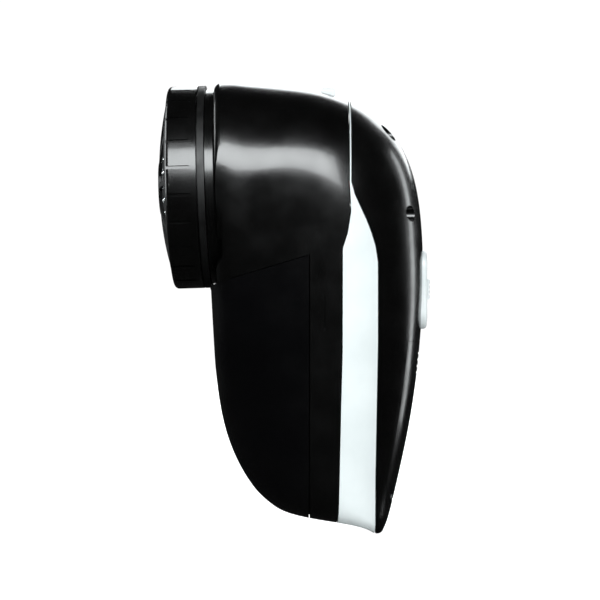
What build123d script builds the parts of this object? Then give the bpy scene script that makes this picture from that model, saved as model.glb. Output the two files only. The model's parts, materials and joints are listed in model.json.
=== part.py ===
"""Battery fabric shaver: an adjustable foil head on a pistol-shaped body.

Millimetres. +Z is up, the head faces -X and y = 0 is the plane of symmetry.
The origin is under the middle of the body, at the height of its lowest tip.
Head pieces are drawn round the X axis, with x = 0 at the front edge of the
barrel and negative x outwards, and at_head() then sets them in place.
"""
from build123d import *
import math
import os

# ---- clearances ----
RUN = 0.08          # radial gap round a piece that turns or slides
SEAM = 0.15         # half the gap between two shell mouldings
FREE = 0.4          # gap between pieces that never touch

# ---- head ----
HEAD_X = -24.1      # front edge of the barrel
HEAD_Z = 108.3      # height of the head's axis
HEAD_TILT = 1.7     # degrees that the shaving face looks down
RING_R = 31.7       # adjuster ring, outside
RING_WALL = 2.1
RING_FRONT = -14.3
RING_BACK = -5.0
RIM_ROUND = 1.4
LIP_WALL = 3.2      # front lip of the ring, measured inwards
LIP_DEPTH = 2.2
GRIP_COUNT = 24
GRIP_WIDTH = 1.0
GRIP_DEPTH = 0.5
GRIP_END = -6.8
FRAME_FLANGE = 2.0  # rear flange of the foil frame
FLANGE_GAP = 0.4
SLEEVE_WALL = 2.3
NECK_DEPTH = 2.4    # shadow gap between the flange and the barrel
NECK_INSET = 1.3    # the neck is this much smaller than the ring
SPIGOT_WALL = 1.6
SPIGOT_LENGTH = 9.0
FOIL_SPHERE = 112.0
FOIL_APEX = -17.2
FOIL_THICK = 0.3
FOIL_SEAT = 1.6
FOIL_HOLE = 2.3
FOIL_EDGE = 5.0     # plain metal outside the last row of holes
HOLE_ROW = 4.6      # radius of the first row of holes
HOLE_PITCH = 3.8
HOLES_PER_ROW = 6   # each row has this many more than the one inside it
GUARD_THICK = 0.8
GUARD_RIM = 1.5     # between the foil and the ring's lip
GUARD_LIFT = 0.15   # air between guard and foil
GUARD_BARS = 12
GUARD_BAR_WIDTH = 1.6
GUARD_HUB_R = 8.2
GUARD_HUB_PROUD = 0.25
GUARD_BAR_ROOT = 1.0  # how far a bar's end stays inside the guard's rim

# ---- cutter and motor ----
BLADE_COUNT = 3
BLADE_THICK = 0.8
BLADE_EDGE = 3.0    # foil's edge to the ends of the blades
BLADE_GAP = 0.35    # blade edge to foil
BLADE_HEIGHT = 5.6
ARM_WIDTH = 4.0
ARM_THICK = 2.4
HUB_R = 6.0
HUB_DEPTH = 3.0      # hub behind the arms
HUB_CAP = 1.2        # hub in front of the drive socket
BLADE_ROOT = 1.5     # how far a blade reaches into the hub
HEX_ACROSS = 6.0
SHAFT_R = 1.15
COUPLING_BACK = 0.6
COUPLING_FLANGE = 2.4
COUPLING_R = 5.6
COUPLING_GAP = 0.2   # coupling's front end to the arms
CUTTER_SPRING_R = 4.5
MOTOR_R = 12.0
MOTOR_WALL = 0.9
MOTOR_LENGTH = 30.0
MOTOR_BOSS_R = 4.0
MOTOR_BOSS = 1.8
MAGNET_WALL = 2.0
MAGNET_FRONT = 5.0   # from the can's front end
MAGNET_BACK = 4.0    # from the can's back end
MAGNET_GAP = 3.0     # half the space between the two magnets
AIR_GAP = 0.5
CORE_INSET = 7.0     # armature core from either end of the can
CORE_SLOTS = 3
CORE_SLOT_WIDTH = 1.8
CORE_SLOT_R = 3.2    # bottom of a slot, from the axis
CAP_THICK = 3.0
CAP_EDGE = 0.2       # the end cap is this much smaller than the can
CAP_WALL = 0.6       # end cap behind the shaft's end
SHAFT_END = 0.8      # shaft's end from the cap's rear face
TERMINAL = 3.5       # how far a terminal stands out of the end cap
TERMINAL_Y = 6.0
TERMINAL_WIDTH = 2.4
TERMINAL_THICK = 0.5
MOTOR_SCREW_OFFSET = 8.0
MOTOR_SCREW_R = 1.25
MOTOR_SCREW_HEAD_R = 2.1
MOTOR_SCREW_HEAD = 1.2
MOTOR_SCREW_SLOT = 0.6

# ---- body shell ----
WALL = 2.0
RIB_INSET = 0.5     # depth of the shallow grooves in the shell
FAN_X = -36.0       # the body's sections fan out from this line
FAN_Z = -9.0
BACK_OUTLINE = ((-27.0, 140.4), (-20.0, 140.75), (-8.0, 140.2), (4.0, 138.6),
                (13.2, 136.6), (20.0, 133.6), (27.0, 129.0), (32.7, 122.6),
                (36.5, 114.5), (39.2, 103.0), (40.4, 88.0), (40.4, 74.0),
                (39.2, 56.0), (37.2, 40.0), (34.4, 25.0), (31.4, 12.0),
                (29.0, 3.4), (27.4, 0.2))
FRONT_OUTLINE = ((-27.0, 76.6), (-25.9, 66.0), (-24.6, 50.5), (-20.8, 29.6),
                 (-15.8, 18.5), (-9.5, 10.5), (-1.9, 5.9), (4.4, 4.4),
                 (12.0, 3.6), (19.0, 2.2), (24.5, 0.2))
HALF_WIDTHS = ((0.0, 32.2), (14.0, 31.9), (25.0, 29.6), (35.0, 26.8),
               (45.0, 24.6), (55.0, 23.2), (65.0, 22.0), (73.0, 20.2),
               (78.0, 17.0), (81.0, 12.5), (84.0, 9.0))
TIP_Z = 0.483       # the lowest tip as drawn, set to zero when the pieces are written
FAN_ANGLES = (3.4, 8.0, 13.0, 18.0, 24.0, 30.0, 36.0, 42.0, 50.0, 58.0, 66.0, 73.0, 78.0, 81.0)
CAVITY_ANGLES = FAN_ANGLES[:-2]
BULKHEAD_X = 2.0    # from the barrel's front edge
BULKHEAD = 2.2
SPINE_X = 4.7       # back of the lint container
BAND_FRONT = ((17.0, 150.0), (16.6, 108.0), (17.0, 99.0), (16.0, 92.8),
              (14.5, 88.0), (14.5, 57.0), (14.1, 40.0), (13.5, 9.0), (12.6, -12.0))
BAND_BACK = ((17.7, 150.0), (17.3, 108.0), (18.4, 104.2), (20.1, 100.4),
             (21.9, 96.6), (23.4, 92.8), (24.6, 89.0), (25.4, 84.0),
             (25.5, 60.0), (24.9, 19.0), (25.0, -12.0))
CONTAINER_TOP_FRONT = 76.7
CONTAINER_TOP_BACK = 86.2
TONGUE_DEPTH = 1.0   # the spine's tongue stands in a groove along the container's back
TONGUE_WIDTH = 2.4
DUCT_HALF_WIDTH = 13.0
DUCT_TOP = 94.6
DUCT_BACK = -3.0
DUCT_WALL = 1.5
DUCT_SEAT = 0.9     # front of the duct behind the bulkhead
CHUTE_WALL = 1.2    # left under the chute through the bulkhead
CONTAINER_TOP_WALL = 1.6

# ---- power ----
CELL_R = 7.15
CELL_LENGTH = 49.5
CELL_NUB_R = 2.75
CELL_NUB = 1.0
CELL_PITCH = 14.8
CELL_X = 20.6       # middle of the cells at their lower end
CELL_Z = 14.0
CELL_LEAN = 7.0     # degrees, the cells follow the back of the handle
CELL_SLACK = 0.25
TRAY_WALL = 1.2
TRAY_OPEN_X = 1.5   # the tray's rim, behind the middle of the cells
CONTACT_ROOM = 3.6  # between a cell's end and the tray's end wall
CONTACT_THICK = 0.5
CONTACT_WIDTH = 9.0
TAB_WIDTH = 3.0
TAB_REACH = 2.0     # a tab beyond the tray's end wall
STRIP_EDGE = 0.3    # contact strips end this far inside the tray's rim
BRIDGE_WIDTH = 4.0
BRIDGE_DEPTH = 3.0
REST_HALF_WIDTH = 9.0
REST_HEIGHT = 3.0
REST_STARTS = (3.0, 20.0)  # lower edges of the two ribs that the tray leans on
SPRING_WIRE = 0.35  # radius of spring wire
SPRING_TURNS = 3
CONTACT_SPRING_R = 3.2
WIRE_R = 0.7
WIRE_BEND = 1.2

# ---- controls ----
BEZEL_Z = 76.0
BEZEL_LENGTH = 25.0
BEZEL_WIDTH = 11.0
BEZEL_PROUD = 1.2
BEZEL_SINK = 2.4
BEZEL_ROUND = 0.9   # share of the proud edge that is rounded
BEZEL_FOOT_INSET = 2.2
BEZEL_FOOT_HALF_WIDTH = 2.5
BEZEL_FOOT_HALF = 0.8
SWITCH_BODY_DEPTH = 5.0
SWITCH_BODY_WIDTH = 8.4
SWITCH_FACE = 34.6  # the switch body's rear face
KNOB_LENGTH = 6.4
KNOB_WIDTH = 5.4
KNOB_PROUD = 2.2
KNOB_TRAVEL = 4.5
KNOB_SINK = 1.0     # the knob's foot below the bezel's underside
KNOB_ROUND = 0.7
KNOB_GROOVE = 0.6
KNOB_GROOVE_DEPTH = 0.35
KNOB_GROOVE_PITCH = 1.5
SLIDER_WIDTH = 2.4
SLIDER_HEIGHT = 2.0
SLIDER_DEPTH = 2.0
SLIDER_WELL = 2.5
SLIDER_WELL_WIDTH = 3.0
DOOR_TOP = 60.0
DOOR_HALF_WIDTH = 14.6
DOOR_PIN_X = 29.6
DOOR_PIN_Z = 12.0
DOOR_PIN_R = 0.75
DOOR_PIN_HALF = 9.6
DOOR_EAR_HALF = 10.6
DOOR_KNUCKLE_R = 1.6
DOOR_KNUCKLE_HALF = 7.5
DOOR_SWING_R = 2.6  # room round the hinge line for the door's edge as it swings
DOOR_RIBS = 4
DOOR_RIB_PITCH = 2.0
DOOR_RIB_TOP = 4.0
DOOR_RIB_WIDTH = 0.8
DOOR_RIB_HALF_LENGTH = 5.0
BUTTON_X = 10.7
BUTTON_LENGTH = 4.4
BUTTON_WIDTH = 8.0
BUTTON_PROUD = 1.1
BUTTON_TRAVEL = 1.0  # how far it can be pressed
BUTTON_ROUND = 0.8
BUTTON_LIP = 0.7
BUTTON_LIP_THICK = 1.1
BUTTON_SPRING_FLAT = 2.0  # the spring's height when the button is pressed
BUTTON_SPRING_R = 1.7
CAGE_WALL_X = 3.3    # cage's outer walls beyond the button
CAGE_WALL_Y = 2.5
CAGE_FLOOR = 1.2
CAGE_GAP = 1.1
SCREW_R = 1.2
SCREW_HEAD_R = 2.4
SCREW_HEAD = 1.8
CROSS_WIDTH = 0.7    # cross recess in a screw head
CROSS_HALF = 1.6
CROSS_DEPTH = 1.0
SCREW_BOSS_R = 3.2
SCREW_PLACES = ((8.0, 124.5, 24.5), (14.2, 99.2, 27.0))  # y, z and x of the head's seat
SCREW_FRONT = 6.0
BARREL_ROUND = 2.4
BARREL_MARGIN = 0.2  # the rounding starts this far outside the barrel's side
GRIP_LINE_X = 9.3
GRIP_LINE_Z = 69.0
GRIP_LINE_LENGTH = 10.2
GRIP_LINE_WIDTH = 0.5
FAR = 80.0          # beyond the whole body

os.makedirs("parts", exist_ok=True)
TINY = 0.01


def disc(x0, x1, radius):
    """A cylinder round the X axis."""
    return extrude(Plane.YZ.offset(x0) * Circle(radius), x1 - x0)


def ring(x0, x1, outer, inner):
    """A tube round the X axis."""
    return disc(x0, x1, outer) - disc(x0 - 1, x1 + 1, inner)


def block(x0, x1, y0, y1, z0, z1):
    """A box from its six limits."""
    return Pos((x0 + x1) / 2, (y0 + y1) / 2, (z0 + z1) / 2) * Box(x1 - x0, y1 - y0, z1 - z0)


def at_head(solid):
    """Sets a head piece in its place on the body."""
    return Pos(HEAD_X, 0, HEAD_Z) * Rot(0, -HEAD_TILT, 0) * solid


def ball(apex, radius):
    """The sphere whose outermost point on the head's axis is at x = apex."""
    return Pos(apex + radius, 0, 0) * Sphere(radius)


# ---- body shell ----
back_line = Spline(*BACK_OUTLINE)
front_line = Spline(*FRONT_OUTLINE)


def fan_hit(line, angle):
    """Where the section plane at this angle from the vertical meets an outline."""
    low, high = 0.0, 1.0
    for _ in range(40):
        middle = (low + high) / 2
        point = line @ middle
        if math.degrees(math.atan2(point.X - FAN_X, point.Y - FAN_Z)) < angle:
            low = middle
        else:
            high = middle
    return line @ low


def fan_half_width(angle):
    """Half the body's width in one section, between the listed angles in proportion."""
    for (a0, w0), (a1, w1) in zip(HALF_WIDTHS, HALF_WIDTHS[1:]):
        if angle <= a1:
            return w0 + (w1 - w0) * (angle - a0) / (a1 - a0)
    return HALF_WIDTHS[-1][1]


def fan_section(angle, inset):
    """Egg-shaped section: a round back and a longer front, widest where they meet."""
    back, front = fan_hit(back_line, angle), fan_hit(front_line, angle)
    length = math.hypot(back.X - front.X, back.Y - front.Y)
    dx, dz = (back.X - front.X) / length, (back.Y - front.Y) / length
    half = fan_half_width(angle)
    blend = min(1.0, max(0.0, (angle - 20) / 25))
    round_back = min(half + (length / 2 - half) * blend, length / 2)
    centre = (front.X + dx * (length - round_back), 0, front.Y + dz * (length - round_back))
    plane = Plane(origin=centre, x_dir=(0, 1, 0), z_dir=(dz, 0, -dx))
    upper = EllipticalCenterArc((0, 0), half - inset, round_back - inset,
                                start_angle=0, arc_size=180)
    lower = EllipticalCenterArc((0, 0), half - inset, length - round_back - inset,
                                start_angle=180, arc_size=180)
    return plane * make_face(Wire([upper.edge(), lower.edge()]))


def body_solid(inset, angles):
    return loft([fan_section(angle, inset) for angle in angles])


def side_region(points):
    """A prism across the body from an outline in the plane of symmetry."""
    return extrude(Plane.XZ * make_face(Polyline(*points, close=True)), FAR, both=True)


def band_region(front_shift, back_shift):
    """Everything between the two edges of the silver band, each moved along X."""
    front = [(x + front_shift, z) for x, z in BAND_FRONT]
    back = [(x + back_shift, z) for x, z in BAND_BACK]
    return side_region(front + back[::-1])


def front_region(shift):
    """Everything ahead of the band's front edge."""
    edge = [(x + shift, z) for x, z in BAND_FRONT]
    return side_region([(-60, edge[-1][1])] + edge[::-1] + [(-60, edge[0][1])])


def back_region(shift):
    """Everything behind the band's back edge."""
    edge = [(x + shift, z) for x, z in BAND_BACK]
    return side_region(edge + [(70, edge[-1][1]), (70, edge[0][1])])


def container_region(gap):
    """The lower front, with its back and top edges moved in by the gap."""
    back = SPINE_X - gap
    slope = (CONTAINER_TOP_BACK - CONTAINER_TOP_FRONT) / (SPINE_X - FRONT_OUTLINE[0][0])
    top = CONTAINER_TOP_BACK - gap
    return side_region([(-60, top - slope * (back + 60)), (-60, -20), (back, -20), (back, top)])


outer = body_solid(0.0, FAN_ANGLES)
inner = body_solid(WALL, CAVITY_ANGLES)
shell = outer - inner
body_rib = body_solid(RIB_INSET, CAVITY_ANGLES)
ahead_of_barrel = at_head(block(-60, 0, -60, 60, -60, 60))


def spring(radius, height):
    """A coil along +Z, standing on z = 0, its wire wholly inside the height."""
    rise = height - 2 * SPRING_WIRE
    path = Helix(rise / SPRING_TURNS, rise, radius)
    wire = Plane(origin=path @ 0, z_dir=path % 0) * Circle(SPRING_WIRE)
    return Pos(0, 0, SPRING_WIRE) * sweep(wire, path)


def along_x(solid):
    """Turns a piece drawn along +Z to lie along +X."""
    return Rot(0, 90, 0) * solid


# ---- foil head ----
sleeve_outer = RING_R - RING_WALL - RUN
sleeve_inner = sleeve_outer - SLEEVE_WALL
flange_back = RING_BACK + FLANGE_GAP + FRAME_FLANGE
sleeve_front = RING_FRONT + LIP_DEPTH + RUN
lip_inner = RING_R - LIP_WALL
foil_r = lip_inner - GUARD_RIM
blade_r = foil_r - BLADE_EDGE
foil_inner = ball(FOIL_APEX + FOIL_THICK, FOIL_SPHERE - FOIL_THICK)
foil_outer = ball(FOIL_APEX, FOIL_SPHERE)


def make_adjuster_ring():
    body = ring(RING_FRONT, RING_BACK, RING_R, RING_R - RING_WALL)
    body += ring(RING_FRONT, RING_FRONT + LIP_DEPTH, RING_R, lip_inner)
    rim = body.edges().filter_by(GeomType.CIRCLE)
    rim = [edge for edge in rim if abs(edge.radius - RING_R) < TINY
           and abs(edge.center().X - RING_FRONT) < TINY]
    body = fillet(rim, RIM_ROUND)
    bottom = RING_R - GRIP_DEPTH
    straight = block(RING_FRONT - 1, GRIP_END - GRIP_WIDTH / 2,
                     -GRIP_WIDTH / 2, GRIP_WIDTH / 2, bottom, RING_R + 1)
    end = Pos(GRIP_END - GRIP_WIDTH / 2, 0, bottom + 1) * Cylinder(GRIP_WIDTH / 2, 2)
    groove = straight + end
    grooves = [Rot(360 / GRIP_COUNT * (index + 0.5), 0, 0) * groove for index in range(GRIP_COUNT)]
    return body - grooves


def make_foil_frame():
    sleeve = ring(sleeve_front, flange_back, sleeve_outer, sleeve_inner)
    flange = ring(flange_back - FRAME_FLANGE, flange_back, RING_R, sleeve_inner)
    seat = ring(FOIL_APEX, sleeve_front + FOIL_SEAT, foil_r, foil_r - FOIL_SEAT) & foil_inner
    shoulder = ring(sleeve_front, sleeve_front + FOIL_SEAT, sleeve_outer - 1, foil_r - FOIL_SEAT)
    return sleeve + flange + seat + shoulder


def make_foil():
    dome = (foil_outer - foil_inner) & disc(FOIL_APEX - 1, 0, foil_r)
    holes = [disc(FOIL_APEX - 1, FOIL_APEX + 8, FOIL_HOLE / 2)]
    drill = holes[0]
    rows = int((foil_r - FOIL_EDGE - HOLE_ROW) / HOLE_PITCH) + 1
    for row in range(rows):
        count = HOLES_PER_ROW * (row + 1)
        for index in range(count):
            angle = 360 / count * index
            holes.append(Rot(angle, 0, 0) * Pos(0, HOLE_ROW + row * HOLE_PITCH, 0) * drill)
    return dome - holes


def make_length_guard():
    lift = FOIL_APEX - GUARD_LIFT
    inside = ball(lift, FOIL_SPHERE + GUARD_LIFT)
    outside = ball(lift - GUARD_THICK, FOIL_SPHERE + GUARD_LIFT + GUARD_THICK)
    cap = outside - inside
    rim_outer = lip_inner - RUN
    rim = ring(FOIL_APEX - 3, sleeve_front - RUN, rim_outer, foil_r + RUN * 2) & outside
    bars = []
    for index in range(GUARD_BARS):
        bar = block(FOIL_APEX - 3, 0, 0, rim_outer - GUARD_BAR_ROOT,
                    -GUARD_BAR_WIDTH / 2, GUARD_BAR_WIDTH / 2)
        bars.append(cap & (Rot(360 / GUARD_BARS * index, 0, 0) * bar))
    proud = ball(lift - GUARD_THICK - GUARD_HUB_PROUD, FOIL_SPHERE)
    hub = (proud - inside) & disc(FOIL_APEX - 3, 0, GUARD_HUB_R)
    guard = hub + rim
    for bar in bars:
        guard += bar
    return guard


# ---- cutter, turned by the motor ----
blade_top = ball(FOIL_APEX + FOIL_THICK + BLADE_GAP, FOIL_SPHERE - FOIL_THICK)
arm_front = FOIL_APEX + FOIL_THICK + BLADE_GAP + BLADE_HEIGHT - ARM_THICK / 2
arm_back = arm_front + ARM_THICK
hub_back = arm_back + HUB_DEPTH


def hexagon(x0, x1, across):
    corner = across / math.sqrt(3)
    return extrude(Plane.YZ.offset(x0) * RegularPolygon(corner, 6), x1 - x0)


def make_blade_carrier():
    carrier = disc(arm_front, hub_back, HUB_R)
    for index in range(BLADE_COUNT):
        turn = Rot(360 / BLADE_COUNT * index, 0, 0)
        carrier += turn * block(arm_front, arm_back, 0, blade_r, -ARM_WIDTH / 2, ARM_WIDTH / 2)
    for blade in blades:
        carrier -= blade
    return carrier - hexagon(arm_front + HUB_CAP, hub_back + 1, HEX_ACROSS + RUN)


def make_blade(index):
    back = arm_front + ARM_THICK / 2
    plate = block(FOIL_APEX, back, HUB_R - BLADE_ROOT, blade_r, -BLADE_THICK / 2, BLADE_THICK / 2)
    return Rot(360 / BLADE_COUNT * index, 0, 0) * (plate & blade_top)


blades = [make_blade(index) for index in range(BLADE_COUNT)]
bulkhead_back = BULKHEAD_X + BULKHEAD
can_front = bulkhead_back
can_back = can_front + MOTOR_LENGTH
armature_r = MOTOR_R - MOTOR_WALL - MAGNET_WALL - AIR_GAP
cap_back = can_back + CAP_THICK


def make_motor_can():
    can = ring(can_front, can_back, MOTOR_R, MOTOR_R - MOTOR_WALL)
    can += disc(can_front, can_front + MOTOR_WALL, MOTOR_R)
    can += disc(can_front - MOTOR_BOSS, can_front + MOTOR_WALL, MOTOR_BOSS_R)
    can -= disc(can_front - MOTOR_BOSS - 1, can_front + MOTOR_WALL + 1, SHAFT_R + RUN)
    for side in (-1, 1):
        hole = disc(can_front - 1, can_front + MOTOR_WALL + 1, MOTOR_SCREW_R)
        can -= Pos(0, side * MOTOR_SCREW_OFFSET, 0) * hole
    return can


def make_magnet(side):
    tube = ring(can_front + MAGNET_FRONT, can_back - MAGNET_BACK, MOTOR_R - MOTOR_WALL,
                MOTOR_R - MOTOR_WALL - MAGNET_WALL)
    half = block(0, FAR, -MOTOR_R, MOTOR_R, MAGNET_GAP, MOTOR_R)
    return tube & (Rot(90 - 90 * side, 0, 0) * half)


def make_armature():
    core = disc(can_front + CORE_INSET, can_back - CORE_INSET, armature_r)
    slot = block(0, FAR, CORE_SLOT_R, armature_r + 1, -CORE_SLOT_WIDTH / 2, CORE_SLOT_WIDTH / 2)
    for index in range(CORE_SLOTS):
        core -= Rot(360 / CORE_SLOTS * index, 0, 0) * slot
    return core - disc(0, FAR, SHAFT_R)


def make_motor_shaft():
    return disc(arm_back, cap_back - SHAFT_END, SHAFT_R)


def make_coupling():
    flange_front = COUPLING_BACK - COUPLING_FLANGE
    body = hexagon(arm_back + COUPLING_GAP, flange_front, HEX_ACROSS)
    body += disc(flange_front, COUPLING_BACK, COUPLING_R)
    return body - disc(arm_back - 1, COUPLING_BACK + 1, SHAFT_R)


def make_cutter_spring():
    length = COUPLING_BACK - COUPLING_FLANGE - hub_back
    return Pos(hub_back, 0, 0) * along_x(spring(CUTTER_SPRING_R, length))


def make_end_cap():
    cap = disc(can_back, cap_back, MOTOR_R - CAP_EDGE)
    return cap - disc(can_back - 1, cap_back - CAP_WALL, SHAFT_R + RUN)


def make_terminal(side):
    strip = block(cap_back, cap_back + TERMINAL, -TERMINAL_WIDTH / 2, TERMINAL_WIDTH / 2,
                  -TERMINAL_THICK / 2, TERMINAL_THICK / 2)
    return Pos(0, side * TERMINAL_Y, 0) * strip


def make_motor_screw(side):
    screw = disc(BULKHEAD_X - MOTOR_SCREW_HEAD, BULKHEAD_X, MOTOR_SCREW_HEAD_R)
    screw += disc(BULKHEAD_X, can_front + MOTOR_WALL, MOTOR_SCREW_R)
    slot_floor = BULKHEAD_X - MOTOR_SCREW_HEAD / 2
    screw -= block(slot_floor - MOTOR_SCREW_HEAD, slot_floor, -MOTOR_SCREW_SLOT / 2,
                   MOTOR_SCREW_SLOT / 2, -MOTOR_SCREW_HEAD_R, MOTOR_SCREW_HEAD_R)
    return Pos(0, side * MOTOR_SCREW_OFFSET, 0) * screw


# ---- front housing, lint duct and container ----
spigot_outer = sleeve_inner - RUN
spigot_inner = spigot_outer - SPIGOT_WALL
chute = block(-20, 40, -DUCT_HALF_WIDTH + DUCT_WALL, DUCT_HALF_WIDTH - DUCT_WALL,
              -spigot_inner + CHUTE_WALL, DUCT_TOP - DUCT_WALL - HEAD_Z)
duct_front = HEAD_X + bulkhead_back + DUCT_SEAT


def make_front_housing():
    region = front_region(-SEAM) - container_region(-SEAM)
    walls = (shell & region) - ahead_of_barrel - at_head(barrel_round_cutter())
    spine = inner & block(SPINE_X + SEAM, SPINE_X + SEAM + WALL, -40, 40, -5, CONTAINER_TOP_BACK + 4)
    tongue = inner & block(SPINE_X - TONGUE_DEPTH, SPINE_X + SEAM + WALL, -TONGUE_WIDTH / 2,
                           TONGUE_WIDTH / 2, -5, CONTAINER_TOP_BACK - WALL)
    bulkhead = inner & at_head(block(BULKHEAD_X, bulkhead_back, -40, 40, -40, 40))
    bulkhead -= container_region(-SEAM)
    front = at_head(ring(-NECK_DEPTH, BULKHEAD_X + TINY, RING_R - NECK_INSET, spigot_inner)
                    + ring(-SPIGOT_LENGTH, 0, spigot_outer, spigot_inner))
    housing = walls + spine + tongue + bulkhead + front
    hole = disc(-20, 40, MOTOR_BOSS_R)
    for side in (-1, 1):
        hole += Pos(0, side * MOTOR_SCREW_OFFSET, 0) * disc(-20, 40, MOTOR_SCREW_R)
    housing -= at_head(hole)
    housing -= at_head(chute) & block(-60, duct_front + 1, -60, 60, 0, 200)
    for y, z, seat in screw_axes:
        boss = inner & (Pos(0, y, z) * disc(HEAD_X + BULKHEAD_X + 1, 60, SCREW_BOSS_R))
        housing += (boss & front_region(-SEAM)) - container_region(-SEAM)
    housing += button_cage & front_region(-SEAM)
    housing += (tray_rest & inner & front_region(-SEAM)) - container_region(-SEAM)
    for y, z, seat in screw_axes:
        housing -= Pos(0, y, z) * disc(SCREW_FRONT, 60, SCREW_R)
    housing -= grip_lines
    return housing - button_pocket(RUN)


def barrel_round_cutter():
    """What rounds the barrel's front edge: all that lies outside a quarter circle."""
    edge = HALF_WIDTHS[0][1] + BARREL_MARGIN
    with BuildSketch(Plane.XZ) as section:
        with BuildLine():
            Line((-1, edge - BARREL_ROUND), (0, edge - BARREL_ROUND))
            RadiusArc((0, edge - BARREL_ROUND), (BARREL_ROUND, edge), BARREL_ROUND)
            Line((BARREL_ROUND, edge), (BARREL_ROUND, edge + 4))
            Line((BARREL_ROUND, edge + 4), (-1, edge + 4))
            Line((-1, edge + 4), (-1, edge - BARREL_ROUND))
        make_face()
    return revolve(section.sketch, Axis.X, 360)


def make_lint_duct():
    outside = block(duct_front, DUCT_BACK, -DUCT_HALF_WIDTH, DUCT_HALF_WIDTH, 60, DUCT_TOP)
    inside = block(duct_front - 1, DUCT_BACK - DUCT_WALL, -DUCT_HALF_WIDTH + DUCT_WALL,
                   DUCT_HALF_WIDTH - DUCT_WALL, 50, DUCT_TOP - DUCT_WALL)
    duct = outside - inside - container_region(-SEAM)
    return duct - at_head(block(-60, bulkhead_back, -60, 60, -60, 60))


def make_lint_container():
    region = container_region(SEAM)
    walls = (shell & region) - at_head(block(-60, flange_back + FREE, -60, 60, -60, 60))
    back = inner & region & block(SPINE_X - SEAM - WALL, SPINE_X - SEAM, -40, 40, -5, 120)
    top = (inner & region) - container_region(SEAM + CONTAINER_TOP_WALL)
    top -= block(-60, DUCT_BACK - DUCT_WALL, -DUCT_HALF_WIDTH + DUCT_WALL,
                 DUCT_HALF_WIDTH - DUCT_WALL, 0, 200)
    groove = block(SPINE_X - TONGUE_DEPTH - SEAM, SPINE_X, -TONGUE_WIDTH / 2 - SEAM,
                   TONGUE_WIDTH / 2 + SEAM, -20, CONTAINER_TOP_BACK)
    return walls + back + top - groove


# ---- handle core and back shell ----
screw_axes = [(side * y, z, seat) for y, z, seat in SCREW_PLACES for side in (-1, 1)]


def make_handle_core():
    return shell & band_region(SEAM, -SEAM)


def door_region(gap):
    return block(26, 60, -DOOR_HALF_WIDTH + gap, DOOR_HALF_WIDTH - gap,
                 DOOR_PIN_Z, DOOR_TOP - gap)


def door_axis(radius, half_length):
    """A cylinder on the door's hinge line."""
    return Pos(DOOR_PIN_X, 0, DOOR_PIN_Z) * Rot(90, 0, 0) * Cylinder(radius, 2 * half_length)


door_edge = outer & block(20, 60, -40, 40, DOOR_PIN_Z - 3, DOOR_PIN_Z + 3)


def make_back_shell():
    part = shell & back_region(SEAM)
    part -= door_region(0.0)
    part -= bezel_plug(0.0)
    for y, z, seat in screw_axes:
        part += inner & back_region(SEAM) & (Pos(0, y, z) * disc(10, 60, SCREW_BOSS_R))
    for y, z, seat in screw_axes:
        part -= Pos(0, y, z) * disc(0, seat + 1, SCREW_R)
        part -= Pos(0, y, z) * disc(seat, 60, SCREW_HEAD_R + RUN)
    part -= block(26, 60, -DOOR_KNUCKLE_HALF - FREE / 2, DOOR_KNUCKLE_HALF + FREE / 2,
                  DOOR_PIN_Z - FREE, DOOR_PIN_Z + 1)
    part += door_axis(DOOR_KNUCKLE_R, DOOR_EAR_HALF) & door_edge
    part -= door_axis(DOOR_SWING_R, DOOR_KNUCKLE_HALF + FREE / 2)
    return part - door_axis(DOOR_PIN_R, DOOR_PIN_HALF)


def make_battery_door():
    door = shell & door_region(SEAM)
    ear_room = door_axis(DOOR_KNUCKLE_R + FREE / 2, DOOR_EAR_HALF + FREE / 2)
    door -= ear_room - door_axis(DOOR_KNUCKLE_R + FREE, DOOR_KNUCKLE_HALF)
    door += door_axis(DOOR_KNUCKLE_R, DOOR_KNUCKLE_HALF) & door_edge
    for index in range(DOOR_RIBS):
        z = DOOR_TOP - DOOR_RIB_TOP - index * DOOR_RIB_PITCH
        door -= (shell - body_rib) & block(20, 60, -DOOR_RIB_HALF_LENGTH, DOOR_RIB_HALF_LENGTH,
                                           z - DOOR_RIB_WIDTH / 2, z + DOOR_RIB_WIDTH / 2)
    return door - door_axis(DOOR_PIN_R + RUN, DOOR_PIN_HALF)


def make_housing_screw(y, z, seat):
    screw = disc(SCREW_FRONT, seat, SCREW_R)
    screw += disc(seat, seat + SCREW_HEAD, SCREW_HEAD_R)
    for angle in (0, 90):
        screw -= Rot(angle, 0, 0) * block(seat + SCREW_HEAD - CROSS_DEPTH, seat + SCREW_HEAD + 1,
                                          -CROSS_WIDTH / 2, CROSS_WIDTH / 2,
                                          -CROSS_HALF, CROSS_HALF)
    return Pos(0, y, z) * screw


# ---- controls ----
def stadium(x0, x1, length, width):
    """A pill-shaped plug along X, long side upright."""
    face = Plane.YZ.offset(x0) * Rot(0, 0, 90) * SlotOverall(length, width)
    return extrude(face, x1 - x0)


back_x = max(x for x, z in BACK_OUTLINE)
bezel_face = back_x + BEZEL_PROUD


def bezel_plug(gap):
    return Pos(0, 0, BEZEL_Z) * stadium(back_x - 8, back_x + 10, BEZEL_LENGTH + 2 * gap,
                                        BEZEL_WIDTH + 2 * gap)


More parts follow.
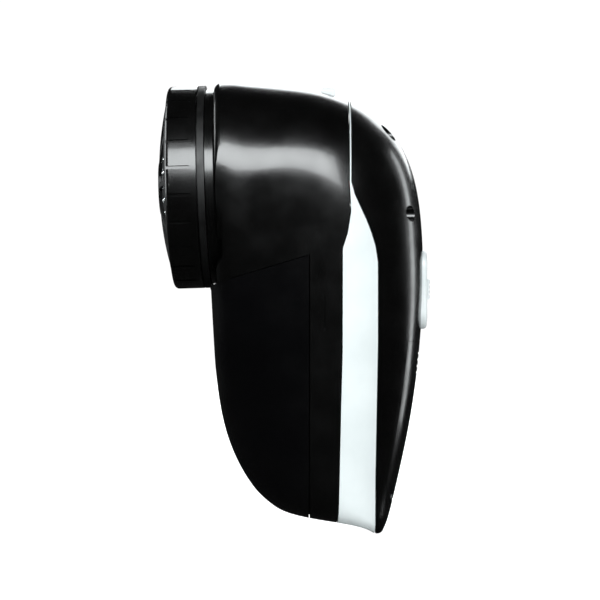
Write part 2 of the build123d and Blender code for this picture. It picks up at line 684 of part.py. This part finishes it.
def make_switch_bezel():
    plate = Pos(0, 0, BEZEL_Z) * stadium(back_x - BEZEL_SINK, bezel_face,
                                         BEZEL_LENGTH - 2 * RUN, BEZEL_WIDTH - 2 * RUN)
    top = [edge for edge in plate.edges() if abs(edge.center().X - bezel_face) < TINY]
    plate = fillet(top, BEZEL_PROUD * BEZEL_ROUND)
    slot_half = (KNOB_LENGTH + KNOB_TRAVEL) / 2 + RUN
    middle = BEZEL_Z + KNOB_TRAVEL / 2
    plate -= block(0, 60, -KNOB_WIDTH / 2 - RUN, KNOB_WIDTH / 2 + RUN,
                   middle - slot_half, middle + slot_half)
    for side in (-1, 1):
        z = BEZEL_Z + side * (BEZEL_LENGTH / 2 - BEZEL_FOOT_INSET)
        plate += block(SWITCH_FACE, back_x - BEZEL_SINK, -BEZEL_FOOT_HALF_WIDTH,
                       BEZEL_FOOT_HALF_WIDTH, z - BEZEL_FOOT_HALF, z + BEZEL_FOOT_HALF)
    return plate


def make_slide_switch():
    half = BEZEL_LENGTH / 2
    body = block(SWITCH_FACE - SWITCH_BODY_DEPTH, SWITCH_FACE, -SWITCH_BODY_WIDTH / 2,
                 SWITCH_BODY_WIDTH / 2, BEZEL_Z - half, BEZEL_Z + half)
    reach = SLIDER_HEIGHT / 2 + FREE
    return body - block(SWITCH_FACE - SLIDER_WELL, 60, -SLIDER_WELL_WIDTH / 2,
                        SLIDER_WELL_WIDTH / 2, BEZEL_Z - reach, BEZEL_Z + reach + KNOB_TRAVEL)


def make_switch_slider():
    return block(SWITCH_FACE - SLIDER_DEPTH, back_x - BEZEL_SINK, -SLIDER_WIDTH / 2,
                 SLIDER_WIDTH / 2, BEZEL_Z - SLIDER_HEIGHT / 2, BEZEL_Z + SLIDER_HEIGHT / 2)


def make_switch_knob():
    front = back_x - BEZEL_SINK - KNOB_SINK
    body = block(front, back_x + KNOB_PROUD, -KNOB_WIDTH / 2, KNOB_WIDTH / 2,
                 BEZEL_Z - KNOB_LENGTH / 2, BEZEL_Z + KNOB_LENGTH / 2)
    top = [edge for edge in body.edges() if abs(edge.center().X - back_x - KNOB_PROUD) < TINY]
    body = fillet(top, KNOB_ROUND)
    for step in (-1, 0, 1):
        z = BEZEL_Z + step * KNOB_GROOVE_PITCH
        body -= block(back_x + KNOB_PROUD - KNOB_GROOVE_DEPTH, 60, -KNOB_WIDTH, KNOB_WIDTH,
                      z - KNOB_GROOVE / 2, z + KNOB_GROOVE / 2)
    return body - make_switch_slider()


def button_pocket(gap):
    half_x, half_y = BUTTON_LENGTH / 2 + gap, BUTTON_WIDTH / 2 + gap
    return block(BUTTON_X - half_x, BUTTON_X + half_x, -half_y, half_y, 130, 150)


wall_at_button = (shell & button_pocket(BUTTON_LIP)).bounding_box()
button_top = (outer & button_pocket(0.0)).bounding_box().max.Z + BUTTON_PROUD
lip_top = wall_at_button.min.Z - RUN
button_base = lip_top - BUTTON_LIP_THICK
button_spring_height = BUTTON_SPRING_FLAT + BUTTON_TRAVEL
button_shelf = button_base - button_spring_height
cage_x = BUTTON_LENGTH / 2 + CAGE_WALL_X
cage_y = BUTTON_WIDTH / 2 + CAGE_WALL_Y
room_x = BUTTON_LENGTH / 2 + CAGE_GAP
room_y = BUTTON_WIDTH / 2 + CAGE_GAP
button_cage = inner & block(BUTTON_X - cage_x, BUTTON_X + cage_x, -cage_y, cage_y,
                            button_shelf - CAGE_FLOOR, 150)
button_cage -= block(BUTTON_X - room_x, BUTTON_X + room_x, -room_y, room_y, button_shelf, 150)


def make_release_button():
    half_x, half_y = BUTTON_LENGTH / 2, BUTTON_WIDTH / 2
    cap = block(BUTTON_X - half_x, BUTTON_X + half_x, -half_y, half_y, button_base, button_top)
    edges = [edge for edge in cap.edges() if abs(edge.center().Z - button_top) < TINY]
    lip_x, lip_y = half_x + BUTTON_LIP, half_y + BUTTON_LIP
    lip = block(BUTTON_X - lip_x, BUTTON_X + lip_x, -lip_y, lip_y, button_base, lip_top)
    return fillet(edges, BUTTON_ROUND) + lip


def make_button_spring():
    return Pos(BUTTON_X, 0, button_shelf) * spring(BUTTON_SPRING_R, button_spring_height)


# ---- cells ----
def at_cells(solid):
    """Sets a piece drawn round the lower end of the cells in place."""
    return Pos(CELL_X, 0, CELL_Z) * Rot(0, CELL_LEAN, 0) * solid


def make_cell(side):
    low = Cylinder(CELL_R, CELL_LENGTH - CELL_NUB, align=(Align.CENTER, Align.CENTER, Align.MIN))
    nub = Pos(0, 0, CELL_LENGTH - CELL_NUB) * Cylinder(
        CELL_NUB_R, CELL_NUB, align=(Align.CENTER, Align.CENTER, Align.MIN))
    cell = low + nub
    if side < 0:
        cell = Pos(0, 0, CELL_LENGTH) * Rot(180, 0, 0) * cell
    return at_cells(Pos(0, side * CELL_PITCH / 2, 0) * cell)


def make_tray():
    half_y = CELL_PITCH / 2 + CELL_R + CELL_SLACK + TRAY_WALL
    low, high = -CONTACT_ROOM, CELL_LENGTH + CONTACT_ROOM
    tray = block(tray_front, TRAY_OPEN_X, -half_y, half_y, low - TRAY_WALL, high + TRAY_WALL)
    for side in (-1, 1):
        y = side * CELL_PITCH / 2
        room = CELL_R + CELL_SLACK
        tray -= Pos(0, y, (low + high) / 2) * Cylinder(room, high - low)
        tray -= block(0, TRAY_OPEN_X + 1, y - room, y + room, low, high)
    tray = at_cells(tray) & body_solid(WALL + FREE, CAVITY_ANGLES)
    for side in (-1, 1):
        tray -= make_contact_plate(side)
    return tray - make_contact_link()


tray_front = -CELL_R - CELL_SLACK - TRAY_WALL
rest_ribs = [block(-40, tray_front, -REST_HALF_WIDTH, REST_HALF_WIDTH, z, z + REST_HEIGHT)
             for z in REST_STARTS]
tray_rest = at_cells(rest_ribs[0] + rest_ribs[1])
plate_top = CELL_LENGTH + CONTACT_ROOM


def make_contact_link():
    """The strip that joins the two cells at the bottom."""
    half_y = CELL_PITCH / 2 + CONTACT_WIDTH / 2
    low, high = -CONTACT_ROOM, -CONTACT_ROOM + CONTACT_THICK
    strip = block(-CONTACT_WIDTH / 2, TRAY_OPEN_X - STRIP_EDGE, -half_y, half_y, low, high)
    strip -= block(-20, 20, -CONTACT_THICK, CONTACT_THICK, -20, 0)
    bridge = block(-CONTACT_WIDTH / 2, -CONTACT_WIDTH / 2 + BRIDGE_DEPTH,
                   -BRIDGE_WIDTH / 2, BRIDGE_WIDTH / 2, low, high)
    return at_cells(strip + bridge)


def make_contact_plate(side):
    y = side * CELL_PITCH / 2
    plate = block(-CONTACT_WIDTH / 2, TRAY_OPEN_X - STRIP_EDGE, y - CONTACT_WIDTH / 2,
                  y + CONTACT_WIDTH / 2, plate_top - CONTACT_THICK, plate_top)
    tab = block(-CONTACT_THICK, 0, y - TAB_WIDTH / 2, y + TAB_WIDTH / 2,
                plate_top - CONTACT_THICK, plate_top + TRAY_WALL + TAB_REACH)
    return at_cells(plate + tab)


def make_contact_spring(side):
    coil = spring(CONTACT_SPRING_R, CONTACT_ROOM - CONTACT_THICK)
    if side > 0:
        return at_cells(Pos(0, CELL_PITCH / 2, -CONTACT_ROOM + CONTACT_THICK) * coil)
    return at_cells(Pos(0, -CELL_PITCH / 2, CELL_LENGTH) * coil)


def make_wire(points):
    path = FilletPolyline(*points, radius=WIRE_BEND)
    return sweep(Plane(origin=path @ 0, z_dir=path % 0) * Circle(WIRE_R), path)


tab_height = plate_top + TRAY_WALL + TAB_REACH
tab_x = CELL_X + tab_height * math.sin(math.radians(CELL_LEAN))
tab_z = CELL_Z + tab_height * math.cos(math.radians(CELL_LEAN))
pin_x = HEAD_X + (cap_back + TERMINAL) * math.cos(math.radians(HEAD_TILT))
pin_z = HEAD_Z + (cap_back + TERMINAL) * math.sin(math.radians(HEAD_TILT))
switch_front = SWITCH_FACE - SWITCH_BODY_DEPTH
cell_y = CELL_PITCH / 2
WIRES = {
    "wire_cell_to_switch": ((tab_x, -cell_y, tab_z), (tab_x + 1.3, -cell_y, tab_z + 6),
                            (switch_front + 2.4, -cell_y + 0.4, tab_z + 10),
                            (switch_front + 2.4, -SWITCH_BODY_WIDTH / 2, tab_z + 10)),
    "wire_switch_to_motor": ((switch_front, -1, tab_z + 14), (switch_front - 4.6, -1, tab_z + 16),
                             (pin_x + 4.4, -TERMINAL_Y, pin_z - 5.5), (pin_x, -TERMINAL_Y, pin_z)),
    "wire_cell_to_motor": ((tab_x, cell_y, tab_z), (tab_x - 0.4, cell_y, tab_z + 6),
                           (pin_x + 4.4, TERMINAL_Y, pin_z - 3.5), (pin_x, TERMINAL_Y, pin_z)),
}


def groove_line(side):
    half = GRIP_LINE_LENGTH / 2
    tool = block(GRIP_LINE_X - GRIP_LINE_WIDTH / 2, GRIP_LINE_X + GRIP_LINE_WIDTH / 2, 0, 60,
                 GRIP_LINE_Z - half, GRIP_LINE_Z + half) & (outer - body_rib)
    return tool if side > 0 else mirror(tool, Plane.XZ)


grip_lines = groove_line(1) + groove_line(-1)


def build_all():
    parts = {
        "front_housing": make_front_housing(),
        "handle_core": make_handle_core(),
        "back_shell": make_back_shell(),
        "lint_container": make_lint_container(),
        "lint_duct": make_lint_duct(),
        "battery_door": make_battery_door(),
        "adjuster_ring": at_head(make_adjuster_ring()),
        "foil_frame": at_head(make_foil_frame()),
        "foil": at_head(make_foil()),
        "length_guard": at_head(make_length_guard()),
        "blade_carrier": at_head(make_blade_carrier()),
        "drive_coupling": at_head(make_coupling()),
        "motor_shaft": at_head(make_motor_shaft()),
        "motor_can": at_head(make_motor_can()),
        "motor_armature": at_head(make_armature()),
        "motor_end_cap": at_head(make_end_cap()),
        "switch_bezel": make_switch_bezel(),
        "switch_knob": make_switch_knob(),
        "switch_slider": make_switch_slider(),
        "slide_switch": make_slide_switch(),
        "release_button": make_release_button(),
        "button_spring": make_button_spring(),
        "cutter_spring": at_head(make_cutter_spring()),
        "battery_tray": make_tray(),
        "contact_link": make_contact_link(),
        "door_hinge_pin": door_axis(DOOR_PIN_R, DOOR_PIN_HALF),
    }
    for index, blade in enumerate(blades):
        parts[f"blade_{index + 1}"] = at_head(blade)
    for index, side in enumerate((-1, 1)):
        parts[f"motor_magnet_{index + 1}"] = at_head(make_magnet(side))
        parts[f"motor_terminal_{index + 1}"] = at_head(make_terminal(side))
        parts[f"motor_screw_{index + 1}"] = at_head(make_motor_screw(side))
        parts[f"battery_{index + 1}"] = make_cell(side)
        parts[f"contact_plate_{index + 1}"] = make_contact_plate(side)
        parts[f"contact_spring_{index + 1}"] = make_contact_spring(side)
    for index, (y, z, seat) in enumerate(screw_axes):
        parts[f"housing_screw_{index + 1}"] = make_housing_screw(y, z, seat)
    for name, points in WIRES.items():
        parts[name] = make_wire(points)
    return parts


for name, solid in build_all().items():
    export_step(Pos(0, 0, -TIP_Z) * solid, f"parts/{name}.step")
    print(name, round(solid.volume, 1), len(solid.solids()))
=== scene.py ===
# %% [markdown]
# # A battery fabric shaver
# The moulded shells, the foil head, the cutter, the motor and the cells come
# from the engineering model as a fixed frame. This lesson gives them smooth
# surfaces and believable finishes, and sets up a plain studio around them.

# %% Load the frame
import bpy
import bmesh
import json
import math
import numpy as np
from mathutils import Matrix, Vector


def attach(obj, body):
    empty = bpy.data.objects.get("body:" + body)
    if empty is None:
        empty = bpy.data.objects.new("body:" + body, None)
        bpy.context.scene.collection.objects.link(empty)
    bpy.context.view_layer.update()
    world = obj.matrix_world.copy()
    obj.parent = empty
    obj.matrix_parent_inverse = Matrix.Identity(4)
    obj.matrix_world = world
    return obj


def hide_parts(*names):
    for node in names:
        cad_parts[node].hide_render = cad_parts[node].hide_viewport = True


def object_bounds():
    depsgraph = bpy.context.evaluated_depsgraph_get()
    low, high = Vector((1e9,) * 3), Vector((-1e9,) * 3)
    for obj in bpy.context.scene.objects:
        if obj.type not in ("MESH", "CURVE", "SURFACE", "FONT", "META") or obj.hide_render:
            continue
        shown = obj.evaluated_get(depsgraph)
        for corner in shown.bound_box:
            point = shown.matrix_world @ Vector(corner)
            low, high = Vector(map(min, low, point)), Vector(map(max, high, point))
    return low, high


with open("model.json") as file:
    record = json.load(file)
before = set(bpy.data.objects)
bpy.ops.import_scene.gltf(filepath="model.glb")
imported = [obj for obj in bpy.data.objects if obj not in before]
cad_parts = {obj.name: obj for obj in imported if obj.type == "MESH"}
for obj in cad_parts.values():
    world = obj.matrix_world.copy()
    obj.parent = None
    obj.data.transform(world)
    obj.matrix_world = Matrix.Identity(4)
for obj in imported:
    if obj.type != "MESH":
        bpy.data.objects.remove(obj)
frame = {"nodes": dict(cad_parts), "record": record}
cad_box = [list(map(float, corner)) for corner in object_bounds()]
print("pieces in the frame:", len(frame["nodes"]))
print("box of the model, m:", cad_box)

# %% [markdown]
# ## Colours
# A paint shop names colours in sRGB, and a renderer adds light in linear
# numbers. One small function turns the first into the second.


# %% sRGB hex to linear colour
def colour(code):
    """Each channel c of the hex code becomes ((c + 0.055) / 1.055) to the power 2.4."""
    channels = np.array([int(code[i:i + 2], 16) for i in (0, 2, 4)]) / 255
    linear = np.where(channels <= 0.04045, channels / 12.92, ((channels + 0.055) / 1.055) ** 2.4)
    return (*linear.tolist(), 1.0)


print("mid grey is", colour("808080"))

# %% [markdown]
# ## Adding nodes
# A material is a graph. One helper adds a node, sets its inputs and links
# whatever is given as a socket, so that a finish reads like a recipe.


# %% The node helper
def node(tree, kind, settings=None, **inputs):
    """Adds a node of that kind. An input that is a socket is linked, any other is a value."""
    made = tree.nodes.new(kind)
    for name, value in (settings or {}).items():
        setattr(made, name, value)
    for name, value in inputs.items():
        socket = made.inputs[name.replace("_", " ")]
        if isinstance(value, bpy.types.NodeSocket):
            tree.links.new(value, socket)
        else:
            socket.default_value = value
    return made


def ramp(tree, factor, low, high, start=0.35, end=0.65):
    """A colour ramp from low to high between two positions of the factor."""
    made = node(tree, "ShaderNodeValToRGB", Fac=factor)
    made.color_ramp.elements[0].position = start
    made.color_ramp.elements[0].color = low
    made.color_ramp.elements[1].position = end
    made.color_ramp.elements[1].color = high
    return made.outputs["Color"]


def grey(value):
    """A neutral colour for a ramp that drives a number."""
    return (value, value, value, 1.0)


MM = 0.001
print("helpers ready")

# %% [markdown]
# ## Moulded plastic
# The black shells are glossy ABS. The mould leaves a faint waviness a few
# millimetres long, and handling leaves smears that dull the gloss in patches.
# Each is a noise in Object coordinates, with its scale worked out from its
# real size: one wave is one over the scale.


# %% A plastic finish
SMEAR_SHARE = 0.3       # a smear is this share of a colour cloud's length
GLOSS_SPREAD = 1.35     # how much rougher the dull patches are
PLASTIC_IOR = 1.53
COAT_ROUGHNESS = 0.08


def plastic(name, dark, light, gloss, patch_mm, grain_mm, grain_depth_mm, coat=0.0, sheen=0.5):
    """ABS or another plastic: colour clouds, patchy gloss and a fine moulded grain."""
    made = bpy.data.materials.new(name)
    made.use_nodes = True
    tree = made.node_tree
    shader = tree.nodes["Principled BSDF"]
    place = node(tree, "ShaderNodeTexCoord").outputs["Object"]
    cloud = node(tree, "ShaderNodeTexNoise", Vector=place, Scale=1 / (patch_mm * MM), Detail=4.0)
    smear = node(tree, "ShaderNodeTexNoise", Vector=place, Detail=6.0,
                 Scale=1 / (patch_mm * SMEAR_SHARE * MM))
    grain = node(tree, "ShaderNodeTexNoise", Vector=place, Scale=1 / (grain_mm * MM), Detail=3.0)
    tree.links.new(ramp(tree, cloud.outputs["Fac"], colour(dark), colour(light)),
                   shader.inputs["Base Color"])
    tree.links.new(ramp(tree, smear.outputs["Fac"], grey(gloss), grey(gloss * GLOSS_SPREAD)),
                   shader.inputs["Roughness"])
    bump = node(tree, "ShaderNodeBump", Height=grain.outputs["Fac"], Distance=grain_depth_mm * MM,
                Strength=0.5)
    tree.links.new(bump.outputs["Normal"], shader.inputs["Normal"])
    shader.inputs["IOR"].default_value = PLASTIC_IOR
    shader.inputs["Coat Weight"].default_value = coat
    shader.inputs["Coat Roughness"].default_value = COAT_ROUGHNESS
    shader.inputs["Specular IOR Level"].default_value = sheen
    return made


finishes = {
    "black_abs": plastic("gloss_black_ABS", "020202", "040404", 0.2, 30, 1.4, 0.002, 0.25, 0.6),
    "satin_abs": plastic("satin_black_ABS", "040404", "070707", 0.42, 14, 0.5, 0.02),
    "smoke_pc": plastic("smoked_polycarbonate", "020203", "040405", 0.2, 40, 2.0, 0.003, 0.2),
    "silver_abs": plastic("silver_grey_ABS", "C9CFCF", "D3D8D8", 0.34, 20, 0.4, 0.008, 0.15),
    "white_abs": plastic("pale_grey_ABS", "CDD3D4", "D9DDDD", 0.30, 10, 0.4, 0.008, 0.15),
    "nylon": plastic("natural_nylon", "D4D2C4", "E4E2D6", 0.45, 8, 0.5, 0.02),
    "cell_jacket": plastic("shrink_sleeve", "16352E", "1F463D", 0.28, 9, 0.8, 0.006),
    "wire_red": plastic("red_PVC", "8E1210", "A81A16", 0.38, 6, 0.6, 0.01),
    "wire_black": plastic("black_PVC", "121212", "1B1B1B", 0.38, 6, 0.6, 0.01),
}
print("plastics:", sorted(finishes))

# %% [markdown]
# ## Metal
# The foil is rolled stainless steel, the can is zinc plated, the contacts are
# brass. Rolling and turning leave fine lines, drawn here as a noise that is
# stretched along one axis, and plating leaves a spangle of duller patches.


# %% A metal finish
CLOUD_MM = 6            # length of a patch of plating
LINE_SPREAD = 1.5       # how much rougher the bottoms of the lines are


def metal(name, dark, light, rough, stretch, line_mm, depth_mm):
    """A metal: fine lines along the axis that isn't stretched, and cloudy plating."""
    made = bpy.data.materials.new(name)
    made.use_nodes = True
    tree = made.node_tree
    shader = tree.nodes["Principled BSDF"]
    shader.inputs["Metallic"].default_value = 1.0
    place = node(tree, "ShaderNodeTexCoord").outputs["Object"]
    turned = node(tree, "ShaderNodeMapping", Vector=place, Scale=stretch)
    lines = node(tree, "ShaderNodeTexNoise", Vector=turned.outputs["Vector"],
                 Scale=1 / (line_mm * MM), Detail=3.0)
    cloud = node(tree, "ShaderNodeTexNoise", Vector=place, Scale=1 / (CLOUD_MM * MM), Detail=5.0)
    tree.links.new(ramp(tree, cloud.outputs["Fac"], colour(dark), colour(light)),
                   shader.inputs["Base Color"])
    tree.links.new(ramp(tree, lines.outputs["Fac"], grey(rough), grey(rough * LINE_SPREAD)),
                   shader.inputs["Roughness"])
    bump = node(tree, "ShaderNodeBump", Height=lines.outputs["Fac"], Distance=depth_mm * MM,
                Strength=0.4)
    tree.links.new(bump.outputs["Normal"], shader.inputs["Normal"])
    return made


finishes.update({
    "foil_steel": metal("rolled_stainless_steel", "C9CBCC", "D8DADB", 0.16, (1, 1, 0.1), 0.3, 0.004),
    "steel": metal("spring_steel", "A9ABAD", "BEC0C1", 0.28, (1, 0.2, 1), 0.3, 0.004),
    "zinc_steel": metal("zinc_plated_steel", "9EA1A3", "B9BCBD", 0.34, (0.1, 1, 1), 0.4, 0.006),
    "ferrite": metal("sintered_ferrite", "2B2B2E", "38383B", 0.60, (1, 1, 1), 0.4, 0.020),
    "iron": metal("laminated_iron", "6E6C69", "84827E", 0.45, (8, 1, 1), 0.8, 0.020),
    "brass": metal("nickel_brass_strip", "B89A5C", "CDB071", 0.28, (1, 0.2, 1), 0.3, 0.004),
})
print("metals added, finishes in all:", len(finishes))

# %% [markdown]
# ## Smooth skins
# A model from an engineering file arrives as loose triangles, which a gloss
# finish shows as facets. A copy with its corners merged can share normals
# across the curved faces and keep the real edges sharp, and it stands in for
# the piece that it was made from.

# %% Merge, smooth and finish each piece
slot_of = {entry["node"]: entry["material_slot"] for entry in frame["record"]["subparts"]}
body_of = {name: body for body, names in frame["record"]["behaviour"]["bodies"].items()
           for name in names}
SHARP = math.radians(28)
MERGE = 1e-6            # corners closer than this are one, in metres


def skin(name):
    """A merged copy of a frame piece, smooth except where its faces meet at over 28 degrees."""
    mesh = frame["nodes"][name].data.copy()
    mesh.materials.clear()
    work = bmesh.new()
    work.from_mesh(mesh)
    bmesh.ops.remove_doubles(work, verts=work.verts, dist=MERGE)
    for edge in work.edges:
        edge.smooth = len(edge.link_faces) == 2 and edge.calc_face_angle(0.0) < SHARP
    for face in work.faces:
        face.smooth = True
    work.to_mesh(mesh)
    work.free()
    made = bpy.data.objects.new("skin_" + name, mesh)
    bpy.context.scene.collection.objects.link(made)
    made.data.materials.append(finishes[slot_of[name]])
    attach(made, body_of[name])
    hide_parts(name)
    return made


skins = {name: skin(name) for name in sorted(frame["nodes"])}
print("skins:", len(skins), "triangles:", sum(len(s.data.polygons) for s in skins.values()))

# %% [markdown]
# ## Studio
# A pale floor, a large soft light above and in front, and a narrow one behind
# the handle that draws its edge. Two weaker ones light the face and the far side.


# %% Floor, lights and world
def surface(name, points, faces):
    """A mesh object from plain lists."""
    mesh = bpy.data.meshes.new(name)
    mesh.from_pydata(points, [], faces)
    made = bpy.data.objects.new(name, mesh)
    bpy.context.scene.collection.objects.link(made)
    return made


low, high = (np.array(corner) for corner in cad_box)
centre = (low + high) / 2
REACH = 6.0
FLOOR_Z = -0.0006       # just under the lowest tip
corners = [(x * REACH, y * REACH, FLOOR_Z) for x, y in ((-1, -1), (1, -1), (1, 1), (-1, 1))]
floor = surface("studio_floor", corners, [(0, 1, 2, 3)])
paper = bpy.data.materials.new("white_paper")
paper.use_nodes = True
paper_shader = paper.node_tree.nodes["Principled BSDF"]
paper_shader.inputs["Base Color"].default_value = colour("F7F7F7")
paper_shader.inputs["Roughness"].default_value = 0.9
seen = node(paper.node_tree, "ShaderNodeLightPath").outputs["Is Camera Ray"]
paper_shader.inputs["Emission Color"].default_value = (1, 1, 1, 1)
glow = node(paper.node_tree, "ShaderNodeMapRange", Value=seen)
glow.inputs["To Max"].default_value = 1.05
paper.node_tree.links.new(glow.outputs["Result"], paper_shader.inputs["Emission Strength"])
floor.data.materials.append(paper)
floor.visible_glossy = False


def soft_light(name, place, aim, size, watts):
    """An area light at a place, turned to face a point."""
    data = bpy.data.lights.new(name, "AREA")
    data.shape = "RECTANGLE"
    data.size, data.size_y = size
    data.energy = watts
    data.color = (0.95, 0.99, 1.0)
    lamp = bpy.data.objects.new(name, data)
    bpy.context.scene.collection.objects.link(lamp)
    lamp.location = place
    way = np.array(aim) - np.array(place)
    yaw = math.atan2(-way[0], way[1])
    pitch = math.atan2(way[2], math.hypot(way[0], way[1]))
    lamp.rotation_euler = (pitch + math.pi / 2, 0.0, yaw)
    return lamp


aim = tuple(centre)
soft_light("key_softbox", (0.04, -0.86, 0.56), aim, (1.1, 0.44), 15)
soft_light("edge_strip", (0.75, 0.42, 0.20), aim, (0.14, 0.7), 1.2)
soft_light("face_fill", (-0.85, 0.30, 0.40), aim, (0.7, 0.7), 5)
soft_light("far_fill", (0.25, 0.90, 0.55), aim, (0.8, 0.5), 5)
world = bpy.data.worlds.new("white_room")
bpy.context.scene.world = world
world.use_nodes = True
room = world.node_tree
backdrop = room.nodes["Background"]
backdrop.inputs["Color"].default_value = (1, 1, 1, 1)
path = node(room, "ShaderNodeLightPath")
level = node(room, "ShaderNodeMapRange", Value=path.outputs["Is Camera Ray"])
level.inputs["To Min"].default_value = 0.012
level.inputs["To Max"].default_value = 1.05
room.links.new(level.outputs["Result"], backdrop.inputs["Strength"])
print("studio ready, object centre at", centre.round(4))

# %% [markdown]
# ## Camera
# The camera looks level along +Y at the side of the shaver. Its lens follows
# from how wide a field it must see at its distance.

# %% Camera
DISTANCE = 0.55
FIELD = 0.189
camera_data = bpy.data.cameras.new("side_camera")
camera = bpy.data.objects.new("side_camera", camera_data)
bpy.context.scene.collection.objects.link(camera)
camera_data.lens = camera_data.sensor_width * DISTANCE / FIELD
camera_data.clip_start = 0.01
camera.location = (centre[0] + 0.0018, -DISTANCE, centre[2] + 0.0019)
camera.rotation_euler = (math.pi / 2, 0, 0)
bpy.context.scene.camera = camera
bpy.context.scene.view_settings.view_transform = "Standard"
print("lens, mm:", round(camera_data.lens, 1))
